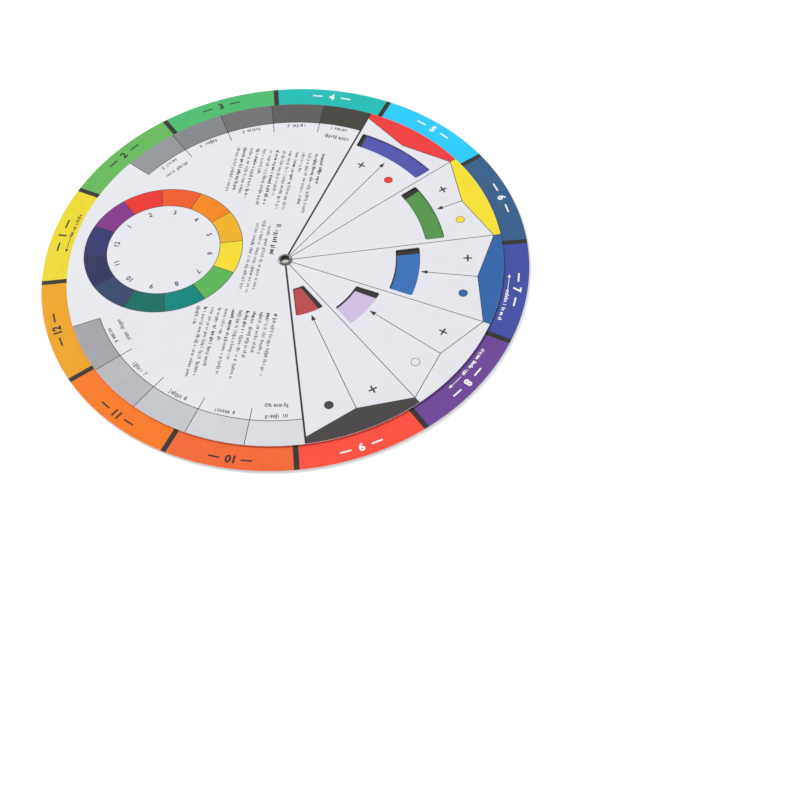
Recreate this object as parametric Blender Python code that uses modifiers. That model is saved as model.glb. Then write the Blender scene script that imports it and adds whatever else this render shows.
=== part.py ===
"""Colour mixing wheel: three card discs that turn on one rolled metal eyelet.

The base disc carries the printed hues, the front disc has a fan of five windows, one for each colour added,
and the back disc has a column of three windows for tint, tone and shade.
Metres, +Z up. The pivot axis is Z, and the eyelet's back curl stands on z = 0.
"""

import math

import bmesh
import bpy
from mathutils import Matrix

COLLECTION_NAME = "colour_mixing_wheel"

# Card discs
BASE_RADIUS = 0.1175
DIAL_RADIUS = 0.1052
CARD_THICKNESS = 0.00045
STACK_GAP = 0.00025

# Eyelet, a tube of thin metal curled outwards at both ends. Each curl is half an ellipse in section.
BORE_RADIUS = 0.0021
EYELET_WALL = 0.00025
CURL_HALF_WIDTH = 0.0005
CURL_HEIGHT = 0.0004
PIVOT_CLEARANCE = 0.00025

# Windows, cut between two rings of a disc and two lines that run beside the sector's edges
SECTORS_IN_TURN = 12
SIDE_MARGIN = 0.0021
WINDOW_CORNER = 0.0008
FRONT_ROW_SHARES = (
    (0.775, 0.861),
    (0.653, 0.742),
    (0.508, 0.619),
    (0.364, 0.480),
    (0.172, 0.327),
)
BACK_ROW_SHARES = (
    (0.700, 0.830),
    (0.525, 0.655),
    (0.350, 0.480),
)

# How the discs stand at rest, in degrees from +X, seen from the front
FRONT_TURN_DEG = -6.0
BACK_TURN_DEG = -84.0

# Fineness of the round shapes
DISC_STEPS = 144
HOLE_STEPS = 48
EDGE_STEPS = 6
CORNER_STEPS = 3
CURL_STEPS = 8
SHARP_EDGE_DEG = 30.0
WELD_SHARE = 0.01

# Heights, from the back curl's lowest point upwards
BARREL_RADIUS = BORE_RADIUS + EYELET_WALL / 2
PIVOT_HOLE_RADIUS = BORE_RADIUS + EYELET_WALL + PIVOT_CLEARANCE
BACK_SEAT_Z = CURL_HEIGHT + EYELET_WALL / 2
BACK_Z = BACK_SEAT_Z + STACK_GAP
BASE_Z = BACK_Z + CARD_THICKNESS + STACK_GAP
FRONT_Z = BASE_Z + CARD_THICKNESS + STACK_GAP
FRONT_SEAT_Z = FRONT_Z + CARD_THICKNESS + STACK_GAP

CARD_WHITE = (0.80, 0.80, 0.83)
PRINTED_INK = (0.05, 0.05, 0.045)
DARK_NICKEL = (0.14, 0.13, 0.12)


def clear_scene():
    """Removes every object, and the collections left empty."""
    for obj in list(bpy.data.objects):
        bpy.data.objects.remove(obj)
    for collection in list(bpy.data.collections):
        bpy.data.collections.remove(collection)


def new_collection(name):
    collection = bpy.data.collections.new(name)
    bpy.context.scene.collection.children.link(collection)
    return collection


def new_material(name, colour, roughness, metallic=0.0):
    material = bpy.data.materials.new(name)
    material.use_nodes = True
    shader = material.node_tree.nodes["Principled BSDF"]
    shader.inputs["Base Color"].default_value = (*colour, 1.0)
    shader.inputs["Roughness"].default_value = roughness
    shader.inputs["Metallic"].default_value = metallic
    return material


def polar(radius, angle):
    return (radius * math.cos(angle), radius * math.sin(angle))


def circle(radius, steps):
    """Points round a full circle."""
    return [polar(radius, math.tau * step / steps) for step in range(steps)]


def arc(radius, start, end, steps):
    """Points from one angle to another, both ends included."""
    return [polar(radius, start + (end - start) * step / steps) for step in range(steps + 1)]


def rounded(points, corners, radius):
    """The closed outline with the numbered corners replaced by short curves that touch both sides."""
    outline = []
    for index, (x, y) in enumerate(points):
        if index not in corners:
            outline.append((x, y))
            continue
        ends = []
        for near_x, near_y in (points[index - 1], points[(index + 1) % len(points)]):
            reach = radius / math.hypot(near_x - x, near_y - y)
            ends.append((x + (near_x - x) * reach, y + (near_y - y) * reach))
        for step in range(CORNER_STEPS + 1):
            t = step / CORNER_STEPS
            weights = ((1 - t) ** 2, 2 * t * (1 - t), t**2)
            places = (ends[0], (x, y), ends[1])
            outline.append(tuple(sum(w * p[axis] for w, p in zip(weights, places)) for axis in range(2)))
    return outline


def window(inner, outer, middle):
    """A window between two radii of the sector centred on an angle, with sides beside the sector's edges."""
    half_sector = math.tau / SECTORS_IN_TURN / 2
    inner_half = half_sector - math.asin(SIDE_MARGIN / inner)
    outer_half = half_sector - math.asin(SIDE_MARGIN / outer)
    outer_side = arc(outer, middle - outer_half, middle + outer_half, EDGE_STEPS)
    inner_side = arc(inner, middle + inner_half, middle - inner_half, EDGE_STEPS)
    corners = {0, EDGE_STEPS, EDGE_STEPS + 1, 2 * EDGE_STEPS + 1}
    return rounded(outer_side + inner_side, corners, WINDOW_CORNER)


def fan_windows(row_shares, turn_deg):
    """One window a row, each in the next sector clockwise, with the fan centred on the turn angle."""
    sector = math.tau / SECTORS_IN_TURN
    first = math.radians(turn_deg) + sector * (len(row_shares) - 1) / 2
    return [
        window(inner * DIAL_RADIUS, outer * DIAL_RADIUS, first - sector * row)
        for row, (inner, outer) in enumerate(row_shares)
    ]


def column_windows(row_shares, turn_deg):
    """One window a row, all in the one sector centred on the turn angle."""
    middle = math.radians(turn_deg)
    return [window(inner * DIAL_RADIUS, outer * DIAL_RADIUS, middle) for inner, outer in row_shares]


def flat_curve(name, outlines, thickness):
    """A filled 2D curve, in which the outlines inside the first one are holes."""
    data = bpy.data.curves.new(name, "CURVE")
    data.dimensions = "2D"
    data.fill_mode = "BOTH"
    data.extrude = thickness / 2
    for outline in outlines:
        spline = data.splines.new("POLY")
        spline.points.add(len(outline) - 1)
        for point, (x, y) in zip(spline.points, outline):
            point.co = (x, y, 0, 1)
        spline.use_cyclic_u = True
    return bpy.data.objects.new(name, data)


def card_disc(name, radius, windows, bottom_z, material, collection):
    """A die-cut card disc with its pivot hole and windows, as a closed mesh with its origin on the pivot axis."""
    outlines = [circle(radius, DISC_STEPS), circle(PIVOT_HOLE_RADIUS, HOLE_STEPS), *windows]
    curve = flat_curve(name + "_outline", outlines, CARD_THICKNESS)
    collection.objects.link(curve)
    bpy.context.view_layer.update()
    graph = bpy.context.evaluated_depsgraph_get()
    mesh = bpy.data.meshes.new_from_object(curve.evaluated_get(graph))
    bpy.data.objects.remove(curve)
    weld_caps(mesh)
    mesh.name = name
    mesh.materials.append(material)
    disc = bpy.data.objects.new(name, mesh)
    disc.matrix_world = Matrix.Translation((0, 0, bottom_z + CARD_THICKNESS / 2))
    collection.objects.link(disc)
    return disc


def weld_caps(mesh):
    """Joins the caps of a mesh made from a curve to its sides, and shades the round sides smooth."""
    shape = bmesh.new()
    shape.from_mesh(mesh)
    bmesh.ops.remove_doubles(shape, verts=shape.verts, dist=CARD_THICKNESS * WELD_SHARE)
    bmesh.ops.recalc_face_normals(shape, faces=shape.faces)
    shape.to_mesh(mesh)
    shape.free()
    mesh.shade_smooth()
    mesh.set_sharp_from_angle(angle=math.radians(SHARP_EDGE_DEG))


def eyelet_profile():
    """Middle line of the metal: front curl from its edge over to the barrel, then the back curl out again."""
    centre = BARREL_RADIUS + CURL_HALF_WIDTH
    turns = [math.pi * step / CURL_STEPS for step in range(CURL_STEPS + 1)]
    curl = [(centre + CURL_HALF_WIDTH * math.cos(turn), CURL_HEIGHT * math.sin(turn)) for turn in turns]
    front = [(radius, FRONT_SEAT_Z + rise) for radius, rise in curl]
    back = [(radius, BACK_SEAT_Z - rise) for radius, rise in reversed(curl)]
    return front + back


def make_eyelet(name, material, collection):
    """The profile turned about Z, then given the metal's thickness on both sides."""
    points = eyelet_profile()
    mesh = bpy.data.meshes.new(name)
    edges = [(index, index + 1) for index in range(len(points) - 1)]
    mesh.from_pydata([(radius, 0, z) for radius, z in points], edges, [])
    mesh.materials.append(material)
    eyelet = bpy.data.objects.new(name, mesh)
    collection.objects.link(eyelet)
    turn = eyelet.modifiers.new("turn", "SCREW")
    turn.axis = "Z"
    turn.steps = HOLE_STEPS
    turn.render_steps = HOLE_STEPS
    turn.use_smooth_shade = True
    wall = eyelet.modifiers.new("wall", "SOLIDIFY")
    wall.thickness = EYELET_WALL
    wall.offset = 0
    wall.use_even_offset = True
    return eyelet


def main():
    clear_scene()
    wheel = new_collection(COLLECTION_NAME)
    card = new_material("white_card", CARD_WHITE, 0.45)
    printed = new_material("printed_card", PRINTED_INK, 0.40)
    nickel = new_material("dark_nickel", DARK_NICKEL, 0.30, 1.0)
    card_disc("back_disc", DIAL_RADIUS, column_windows(BACK_ROW_SHARES, BACK_TURN_DEG), BACK_Z, card, wheel)
    card_disc("base_disc", BASE_RADIUS, [], BASE_Z, printed, wheel)
    card_disc("front_disc", DIAL_RADIUS, fan_windows(FRONT_ROW_SHARES, FRONT_TURN_DEG), FRONT_Z, card, wheel)
    make_eyelet("eyelet", nickel, wheel)


main()
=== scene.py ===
# %% [markdown]
# # A colour mixing wheel, dressed step by step
# The wheel is three discs of laminated card that turn on one hollow metal eyelet. The big disc in the
# middle carries the twelve printed hues and, under the windows, the mixtures. The white disc in front has
# five windows, one for each colour that is added, and the one behind has three, for tint, tone and shade.
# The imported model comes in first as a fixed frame. All is in metres, with +Z up and the pivot on Z.

# %% Load the frame
import math

import bpy
import numpy as np
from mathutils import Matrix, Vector


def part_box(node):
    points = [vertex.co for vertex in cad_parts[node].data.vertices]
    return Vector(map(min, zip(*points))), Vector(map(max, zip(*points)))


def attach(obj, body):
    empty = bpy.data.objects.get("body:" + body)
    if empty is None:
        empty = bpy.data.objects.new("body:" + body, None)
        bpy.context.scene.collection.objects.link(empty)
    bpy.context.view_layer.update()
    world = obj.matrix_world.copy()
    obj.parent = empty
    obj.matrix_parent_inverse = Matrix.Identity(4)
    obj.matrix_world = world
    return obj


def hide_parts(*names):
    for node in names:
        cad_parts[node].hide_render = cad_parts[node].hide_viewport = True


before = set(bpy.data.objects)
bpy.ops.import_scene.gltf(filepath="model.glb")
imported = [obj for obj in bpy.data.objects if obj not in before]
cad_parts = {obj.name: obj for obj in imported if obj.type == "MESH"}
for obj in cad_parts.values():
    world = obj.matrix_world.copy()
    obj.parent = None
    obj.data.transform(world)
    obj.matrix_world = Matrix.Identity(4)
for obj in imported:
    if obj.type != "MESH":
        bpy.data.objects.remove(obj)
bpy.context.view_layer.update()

MM = 0.001

# %% [markdown]
# ## Sizes that the frame doesn't hold
# The frame gives each disc's radius and its two faces. The windows are cut in shares of the dial's radius,
# between two lines that run a fixed distance inside the edges of a 30 degree sector. Card this wide also
# sags: its rim sits lower than its middle, which the eyelet holds up, and the front disc sags less.

# %% Sizes
SECTORS = 12
SECTOR_DEG = 360 / SECTORS
BASE_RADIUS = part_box("base_disc")[1].x
DIAL_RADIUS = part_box("front_disc")[1].x
PIVOT_HOLE_RADIUS = 2.6 * MM
RIM_DROOPS = {"base_disc": 0.8 * MM, "front_disc": 0.5 * MM, "back_disc": 0.8 * MM}

SIDE_MARGIN = 2.1 * MM
WINDOW_CORNER = 0.8 * MM
FRONT_SHARES = ((0.775, 0.861), (0.653, 0.742), (0.508, 0.619), (0.364, 0.480), (0.172, 0.327))
BACK_SHARES = ((0.700, 0.830), (0.525, 0.655), (0.350, 0.480))
FRONT_ROWS = np.array(FRONT_SHARES) * DIAL_RADIUS
BACK_ROWS = np.array(BACK_SHARES) * DIAL_RADIUS
FAN_DEG = -6
COLUMN_DEG = -84
FAN_MIDDLES = FAN_DEG + SECTOR_DEG * np.arange(2, -3, -1)
print("windows at", FAN_MIDDLES, "degrees, dial radius", round(DIAL_RADIUS / MM, 1), "mm")

# %% [markdown]
# ## Colours and nodes
# A swatch is written as sRGB hex, but a shader works in linear light, so one function turns the one into
# the other. The rest are short helpers for the nodes that come up again and again.

# %% Helpers for materials
SRGB_KNEE = 0.04045
SRGB_SLOPE = 12.92
SRGB_OFFSET = 0.055
SRGB_POWER = 2.4
RANGE_ENDS = ("From Min", "From Max", "To Min", "To Max")
NOISE_REACH = (0.3, 0.7)


def linear(code):
    """sRGB hex to linear light: c / 12.92 below the knee, ((c + 0.055) / 1.055) ^ 2.4 above it."""
    channel = np.array([int(code[place:place + 2], 16) for place in (1, 3, 5)]) / 255
    above = ((channel + SRGB_OFFSET) / (1 + SRGB_OFFSET)) ** SRGB_POWER
    return np.where(channel <= SRGB_KNEE, channel / SRGB_SLOPE, above)


def plug(node, plugs):
    """Gives each of the node's sockets, by name or number, its value or another node's output."""
    for socket, value in plugs.items():
        if isinstance(value, bpy.types.NodeSocket):
            node.id_data.links.new(value, node.inputs[socket])
        else:
            node.inputs[socket].default_value = value


def add_node(owner, kind, plugs, **settings):
    """Adds a node to a material or a world, with its settings and what is plugged into it."""
    node = owner.node_tree.nodes.new(kind)
    for name, value in settings.items():
        setattr(node, name, value)
    plug(node, plugs)
    return node


def new_material(name, **constants):
    """A material and its shader, which takes the constants; underscores stand for the sockets' spaces."""
    material = bpy.data.materials.new(name)
    material.use_nodes = True
    shader = material.node_tree.nodes["Principled BSDF"]
    plug(shader, {socket.replace("_", " "): value for socket, value in constants.items()})
    return material, shader


def object_place(material):
    """Object coordinates, on which all the patterns here lie."""
    return add_node(material, "ShaderNodeTexCoord", {}).outputs["Object"]


def combined(owner, operation, first, second):
    """Two numbers made one, such as their product or the greater of them."""
    return add_node(owner, "ShaderNodeMath", {0: first, 1: second}, operation=operation).outputs[0]


def ranged(owner, value, target, source=(0, 1)):
    """The value stretched so that the source's two ends land on the target's."""
    ends = dict(zip(RANGE_ENDS, (*source, *target)))
    return add_node(owner, "ShaderNodeMapRange", {"Value": value, **ends}).outputs["Result"]


def vary(material, place, size, target, detail=2):
    """A number that drifts between the target's ends over the surface, in soft patches of the given size."""
    pattern = {"Vector": place, "Scale": 1 / size, "Detail": detail}
    noise = add_node(material, "ShaderNodeTexNoise", pattern).outputs["Fac"]
    return ranged(material, noise, target, NOISE_REACH)


def tinted(material, colour, brightness):
    """A colour, or a swatch's code, made brighter or darker by a factor."""
    colour = (*linear(colour), 1) if isinstance(colour, str) else colour
    plugs = {"Color": colour, "Value": brightness}
    return add_node(material, "ShaderNodeHueSaturation", plugs).outputs["Color"]


print("swatch check: mid grey", linear("#808080").round(3))

# %% [markdown]
# ## Laminated card
# The white discs are bleached board about 0.45 mm thick with a thin clear film on both faces. The film
# gives a soft, even gloss; under it the board looks faintly cloudy, and hands leave the gloss uneven. Image
# scans could show this, but noise on Object coordinates needs no file and stays sharp at any distance.

# %% Laminated card
CARD_WHITE = "#E7E7EE"
FILM = {"IOR": 1.49, "Specular_IOR_Level": 0.10}
FORMATION_SIZE = 11.0 * MM
FORMATION_TONES = (0.985, 1.01)
HANDLING_SIZE = 26.0 * MM
CARD_ROUGHNESS = (0.42, 0.54)
FIBRE_SIZE = 0.9 * MM
FIBRE_RELIEF = {"Strength": 0.12, "Distance": 0.02 * MM}


def laminated_card():
    """Bleached board under film: slightly cool white, cloudy by a hundredth, with fibres showing through."""
    material, shader = new_material("laminated_white_card", **FILM)
    place = object_place(material)
    clouds = vary(material, place, FORMATION_SIZE, FORMATION_TONES, detail=3)
    fibre = vary(material, place, FIBRE_SIZE, (0, 1), detail=4)
    relief = add_node(material, "ShaderNodeBump", {"Height": fibre, **FIBRE_RELIEF})
    rough = vary(material, place, HANDLING_SIZE, CARD_ROUGHNESS)
    white = tinted(material, CARD_WHITE, clouds)
    plug(shader, {"Base Color": white, "Roughness": rough, "Normal": relief.outputs["Normal"]})
    return material


card_material = laminated_card()
print(card_material.name, "with", len(card_material.node_tree.nodes), "nodes")

# %% [markdown]
# ## The cut edge of the card
# A steel rule punches the discs and the windows out of the sheet. It leaves a matt edge, where the plies of
# the board show as fine layers, a little warmer than the film. Only the meshes' walls get this material.

# %% Cut edge
EDGE_WHITE = "#F8F7F4"
BARE_BOARD = {"Roughness": 0.85, "IOR": 1.45}
PLY_SIZE = 0.11 * MM
PLY_TONES = (0.92, 1.02)
PLY_STRETCH = (0.15, 0.15, 1)


def cut_edge():
    """Bare board, matt, in layers along Z that are as thick as one ply."""
    material, shader = new_material("die_cut_board_edge", **BARE_BOARD)
    layers = add_node(material, "ShaderNodeMapping", {"Vector": object_place(material), "Scale": PLY_STRETCH})
    plies = vary(material, layers.outputs["Vector"], PLY_SIZE, PLY_TONES)
    plug(shader, {"Base Color": tinted(material, EDGE_WHITE, plies)})
    return material


edge_material = cut_edge()
print(edge_material.name, "with", len(edge_material.node_tree.nodes), "nodes")

# %% [markdown]
# ## Offset printing ink
# The colours are thin films of ink, laid down as a screen of dots under the same clear film. Each face of a
# print carries its colour in the attribute "ink", and the material only adds what the press adds: a faint
# mottle, and the screen. The real screen, six dots in a millimetre, is too fine to show, so it is drawn
# about four times as coarse.

# %% Printing ink
MOTTLE_SIZE = 5.0 * MM
MOTTLE_TONES = (0.975, 1.025)
SCREEN_SIZE = 0.7 * MM
SCREEN_TURN = math.radians(15)
SCREEN_REACH = (0, 0.7)
SCREEN_TONES = (0.985, 1.02)
INK_ROUGHNESS = (0.38, 0.50)


def printing_ink():
    """The attribute's colour, brightened and darkened by mottle times a turned grid of dots."""
    material, shader = new_material("offset_printing_ink", **FILM)
    place = object_place(material)
    ink = add_node(material, "ShaderNodeAttribute", {}, attribute_name="ink").outputs["Color"]
    turned = add_node(material, "ShaderNodeMapping", {"Vector": place, "Rotation": (0, 0, SCREEN_TURN)})
    dots = {"Vector": turned.outputs["Vector"], "Scale": 1 / SCREEN_SIZE, "Randomness": 0}
    screen = add_node(material, "ShaderNodeTexVoronoi", dots, voronoi_dimensions="2D").outputs["Distance"]
    dotted = ranged(material, screen, SCREEN_TONES, SCREEN_REACH)
    mottle = vary(material, place, MOTTLE_SIZE, MOTTLE_TONES, detail=3)
    printed = tinted(material, ink, combined(material, "MULTIPLY", dotted, mottle))
    plug(shader, {"Base Color": printed, "Roughness": vary(material, place, HANDLING_SIZE, INK_ROUGHNESS)})
    return material


ink_material = printing_ink()
print(ink_material.name, "with", len(ink_material.node_tree.nodes), "nodes")

# %% [markdown]
# ## Dark nickel
# The eyelet is rolled brass with a dark nickel plate. Rolling draws fine rings on it. Its colour carries
# painted shade: it darkens towards the bore and towards the outer lip, where the hollow and the roll's edge
# lie in shade, over random patches of tarnish. A metal's colour is that of its reflections, so its IOR is
# left alone. The shade could be drawn in an image, but it depends only on the distance from the pivot, so
# two ranges of that distance are enough.

# %% Dark nickel
NICKEL = "#7C7A78"
DRAWING_SIZE = 0.12 * MM
DRAWING_WOBBLE = 1.5
DRAWING_ROUGHNESS = (0.20, 0.34)
DRAWING_RELIEF = {"Strength": 0.15, "Distance": 0.01 * MM}
TARNISH_SIZE = 0.9 * MM
TARNISH_TONES = (0.7, 1.15)
# Painted shade: the metal's colour darkens towards the bore and the outer lip, where they lie in shade.
BORE_PAINTED_SHADE = ((0.22, 1), (2.1 * MM, 2.6 * MM))
LIP_PAINTED_SHADE = ((1, 0.4), (2.9 * MM, 3.3 * MM))


def rubbed_crown(material, place):
    """1 on the crown of the roll, with painted shade towards the bore and the lip, times patches of tarnish.
    """
    flat = add_node(material, "ShaderNodeMapping", {"Vector": place, "Scale": (1, 1, 0)}).outputs["Vector"]
    reach = add_node(material, "ShaderNodeVectorMath", {0: flat}, operation="LENGTH").outputs["Value"]
    crown = vary(material, place, TARNISH_SIZE, TARNISH_TONES)
    # painted shade: darker towards the bore and towards the lip
    for tones, distances in (BORE_PAINTED_SHADE, LIP_PAINTED_SHADE):
        crown = combined(material, "MULTIPLY", crown, ranged(material, reach, tones, distances))
    return crown


def dark_nickel():
    """Plated metal with painted shade at the bore and lip; its roughness follows fine drawn rings round the
    axis.
    """
    material, shader = new_material("dark_nickel_plate", Metallic=1)
    place = object_place(material)
    rings = {"Vector": place, "Scale": 1 / DRAWING_SIZE / math.tau, "Distortion": DRAWING_WOBBLE}
    round_z = {"wave_type": "RINGS", "rings_direction": "Z"}
    wave = add_node(material, "ShaderNodeTexWave", rings, **round_z).outputs["Fac"]
    relief = add_node(material, "ShaderNodeBump", {"Height": wave, **DRAWING_RELIEF})
    metal = tinted(material, NICKEL, rubbed_crown(material, place))
    rough = ranged(material, wave, DRAWING_ROUGHNESS)
    plug(shader, {"Base Color": metal, "Roughness": rough, "Normal": relief.outputs["Normal"]})
    return material


nickel_material = dark_nickel()
print(nickel_material.name, "with", len(nickel_material.node_tree.nodes), "nodes")

# %% [markdown]
# ## Grids
# Card and ink are the same kind of shape: a flat sheet with a thickness. A filled curve would give long
# thin triangles that can't bend; a grid between two rows of points bends with the drooping card. A sheet is
# kept as points, faces, and one ink for all its faces or one for each.

# %% Grids
def polar(radius, degrees):
    """Points at x = radius cos(angle), y = radius sin(angle)."""
    turn = np.radians(degrees)
    return np.stack(np.broadcast_arrays(radius * np.cos(turn), radius * np.sin(turn)), axis=-1)


def grid_faces(rows, columns, closed=False):
    """Four-cornered faces of a grid of points; a closed grid joins its last column to its first."""
    index = np.arange(rows * columns).reshape(rows, columns)
    if closed:
        index = np.column_stack((index, index[:, 0]))
    corners = (index[:-1, :-1], index[:-1, 1:], index[1:, 1:], index[1:, :-1])
    return np.stack(corners, axis=-1).reshape(-1, 4)


def signed_area(points, faces):
    """Sum of x y' - y x' over the faces' sides: above zero if they run anticlockwise seen from +Z."""
    here = points[faces]
    after = np.roll(here, -1, axis=1)
    return (here[..., 0] * after[..., 1] - here[..., 1] * after[..., 0]).sum()


print("3 by 4 points make", len(grid_faces(3, 4)), "faces, or", len(grid_faces(3, 4, closed=True)), "closed")

# %% [markdown]
# ## Slabs
# A sheet gets its thickness from a second copy of itself, and a wall on each edge that only one face uses.
# Solidify could do the same, but then the walls couldn't have their own material or colour so simply. Both
# copies sink with the card that they belong to.

# %% Slabs
def droop(node, points):
    """How far a card has sunk at (x, y): its droop at the base disc's rim times (r / rim radius) squared."""
    return -RIM_DROOPS[node] * (points ** 2).sum(axis=-1) / BASE_RADIUS ** 2


def slab(node, points, faces, colours, outer_z, inner_z):
    """A closed slab that droops with a card: the sheet at outer_z, its copy at inner_z, and its walls."""
    count = len(points)
    if (signed_area(points, faces) > 0) != (outer_z > inner_z):
        faces = faces[:, ::-1]
    colours = np.broadcast_to(colours, (len(faces), 3))
    start = faces.ravel()
    end = np.roll(faces, -1, axis=1).ravel()
    alone = ~np.isin(end * count + start, start * count + end)
    a, b = start[alone], end[alone]
    walls = np.stack((b, a, a + count, b + count), axis=1)
    owner = np.repeat(np.arange(len(faces)), faces.shape[1])[alone]
    sunk = droop(node, points)
    placed = np.vstack([np.column_stack((points, z + sunk)) for z in (outer_z, inner_z)])
    skins = np.vstack((faces, faces[:, ::-1] + count))
    return placed, skins, np.vstack((colours, colours)), walls, colours[owner]


for node in RIM_DROOPS:
    rim = np.array((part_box(node)[1].x, 0))
    print(node, "sinks", round(-droop(node, rim) / MM, 2), "mm at its rim")

# %% [markdown]
# ## Pieces
# One function turns arrays into a finished piece. The colours go into the attribute "ink", one for each
# corner of each face, because the ink's edge is sharp and a colour kept on points would run over it.

# %% Pieces
SMOOTH_BELOW = math.radians(30)
CARRIERS = {
    "base_disc": ("base", "printed_card"),
    "front_disc": ("front_dial", "white_card"),
    "back_disc": ("back_dial", "white_card"),
    "eyelet": ("base", "dark_nickel"),
}


def put_piece(name, node, points, faces, materials, face_materials=None, colours=None):
    """Makes the object from whole arrays, smooth but for its sharp edges, and sets it on its node's body."""
    mesh = bpy.data.meshes.new(name)
    mesh.from_pydata(points.tolist(), [], [face for group in faces for face in group.tolist()])
    for material in materials:
        mesh.materials.append(material)
    if face_materials is not None:
        mesh.polygons.foreach_set("material_index", face_materials)
    if colours is not None:
        sizes = np.concatenate([np.full(len(group), group.shape[1]) for group in faces])
        corners = np.repeat(np.column_stack((colours, np.ones(len(colours)))), sizes, axis=0)
        mesh.attributes.new("ink", "FLOAT_COLOR", "CORNER").data.foreach_set("color", corners.ravel())
    mesh.shade_smooth()
    mesh.set_sharp_from_angle(angle=SMOOTH_BELOW)
    piece = bpy.data.objects.new(name, mesh)
    bpy.context.scene.collection.objects.link(piece)
    body, slot = CARRIERS[node]
    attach(piece, body)
    return piece


print("sides that meet at more than", round(math.degrees(SMOOTH_BELOW)), "degrees stay sharp")

# %% [markdown]
# ## The three die-cut discs: where their columns stand
# A disc with windows could be cut with booleans. A grid in polar coordinates does it more cleanly: rows lie
# on the windows' radii, columns on their sides, and the cells inside a window are left out. A side runs
# parallel to its sector's edge, so at radius r it stands asin(margin / r) from it.

# %% Rows and columns of a disc
ROW_SPACING = 6 * MM
SPANS_ACROSS = 12
SECTOR_COLUMNS = SPANS_ACROSS + 4


def filled(radii):
    """The given radii, with more between them wherever two are further apart than the row spacing."""
    counts = np.ceil(np.diff(radii) / ROW_SPACING).astype(int)
    spans = [np.linspace(a, b, n, endpoint=False) for a, b, n in zip(radii[:-1], radii[1:], counts)]
    return np.append(np.concatenate(spans), radii[-1])


def beside_edge(distance, radius, nearest):
    """Degrees between a sector's edge and a line that runs beside it: asin(distance / radius)."""
    return np.degrees(np.arcsin(distance / np.maximum(radius, nearest)))


def sector_columns(radius, nearest):
    """Column angles in one sector: its edge, the window's side, even steps across, the other side."""
    side = beside_edge(SIDE_MARGIN, radius, nearest)
    inside = beside_edge(SIDE_MARGIN + WINDOW_CORNER, radius, nearest)
    across = inside + (SECTOR_DEG - 2 * inside) * np.linspace(0, 1, SPANS_ACROSS + 1)
    return np.column_stack((np.zeros_like(radius), side, across, SECTOR_DEG - side))


print("at the rim a window's side is", beside_edge(SIDE_MARGIN, DIAL_RADIUS, 0).round(2), "degrees in")

# %% [markdown]
# ## The three die-cut discs: windows with round corners
# The cells inside a window are dropped, but the four in its corners stay, each with one point drawn in.
# That rounds the corner as the cutting rule does, with no cell more than a plain corner has.

# %% Grid of a disc
EDGE_ROUND = 0.03 * MM
CORNER_PULL = WINDOW_CORNER * (1 - math.sqrt(0.5))
BLANK_SHARE = 0.25
SAME_ROW_DIGITS = 7


def disc_grid(radius, windows, turn):
    """Radii, angles and kept cells of a disc; a window is (inner radius, outer radius, sector number)."""
    edges = [inner + shift for inner, _, _ in windows for shift in (0, WINDOW_CORNER)]
    edges += [outer - shift for _, outer, _ in windows for shift in (0, WINDOW_CORNER)]
    rows = filled(np.unique(np.round([PIVOT_HOLE_RADIUS, radius, *edges], SAME_ROW_DIGITS)))
    nearest = min([inner for inner, _, _ in windows], default=radius * BLANK_SHARE)
    starts = turn + SECTOR_DEG * (0.5 + np.arange(SECTORS))
    angle = starts[None, :, None] + sector_columns(rows[:, None], nearest)[:, None, :]
    angle = angle.reshape(len(rows), -1)
    reach = np.repeat(rows[:, None], angle.shape[1], axis=1)
    kept = np.ones((len(rows) - 1, angle.shape[1]), dtype=bool)
    for inner, outer, sector in windows:
        first, last = np.searchsorted(rows, (inner - EDGE_ROUND, outer - EDGE_ROUND))
        left = sector * SECTOR_COLUMNS
        right = left + SECTOR_COLUMNS - 1
        kept[first:last, left + 1:right] = False
        kept[np.ix_((first, last - 1), (left + 1, right - 1))] = True
        pulled = np.array(((inner + CORNER_PULL,), (outer - CORNER_PULL,)))
        beside = beside_edge(SIDE_MARGIN + CORNER_PULL, pulled, nearest)
        corners = np.ix_((first + 1, last - 1), (left + 2, right - 1))
        reach[corners] = pulled
        angle[corners] = starts[sector] + np.column_stack((beside, SECTOR_DEG - beside))
    return reach, angle, kept


front_windows = [(inner, outer, (1 - row) % SECTORS) for row, (inner, outer) in enumerate(FRONT_ROWS)]
back_windows = [(inner, outer, SECTORS - 1) for inner, outer in BACK_ROWS]
print("front disc grid", disc_grid(DIAL_RADIUS, front_windows, FAN_DEG)[2].shape, "cells")

# %% [markdown]
# ## The three die-cut discs: from grid to card
# Each disc takes its thickness and place from the node that it stands for. A Bevel rounds the arrises a
# little, which catches the light along each cut, and stays live so that its width can still be changed.

# %% Cut the discs
def card_disc(name, node, windows, turn):
    """The grid's kept cells as a slab as thick as the node, with the cut edge's arrises rounded a little."""
    low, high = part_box(node)
    reach, angle, kept = disc_grid(high.x, windows, turn)
    points = polar(reach, angle).reshape(-1, 2)
    faces = grid_faces(*angle.shape, closed=True)[kept.ravel()]
    placed, skins, _, walls, _ = slab(node, points, faces, 0, high.z, low.z)
    marks = np.repeat((0, 1), (len(skins), len(walls)))
    disc = put_piece(name, node, placed, (skins, walls), (card_material, edge_material), face_materials=marks)
    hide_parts(node)
    rounding = disc.modifiers.new("die_cut_arris", "BEVEL")
    rounding.width = EDGE_ROUND
    rounding.segments = 2
    rounding.limit_method = "ANGLE"
    rounding.angle_limit = SMOOTH_BELOW
    rounding.harden_normals = True
    print(name, "has", len(windows), "windows and", len(skins) + len(walls), "faces")


card_disc("base_card", "base_disc", [], FAN_DEG)
card_disc("front_card", "front_disc", front_windows, FAN_DEG)
card_disc("back_card", "back_disc", back_windows, COLUMN_DEG)

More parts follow.
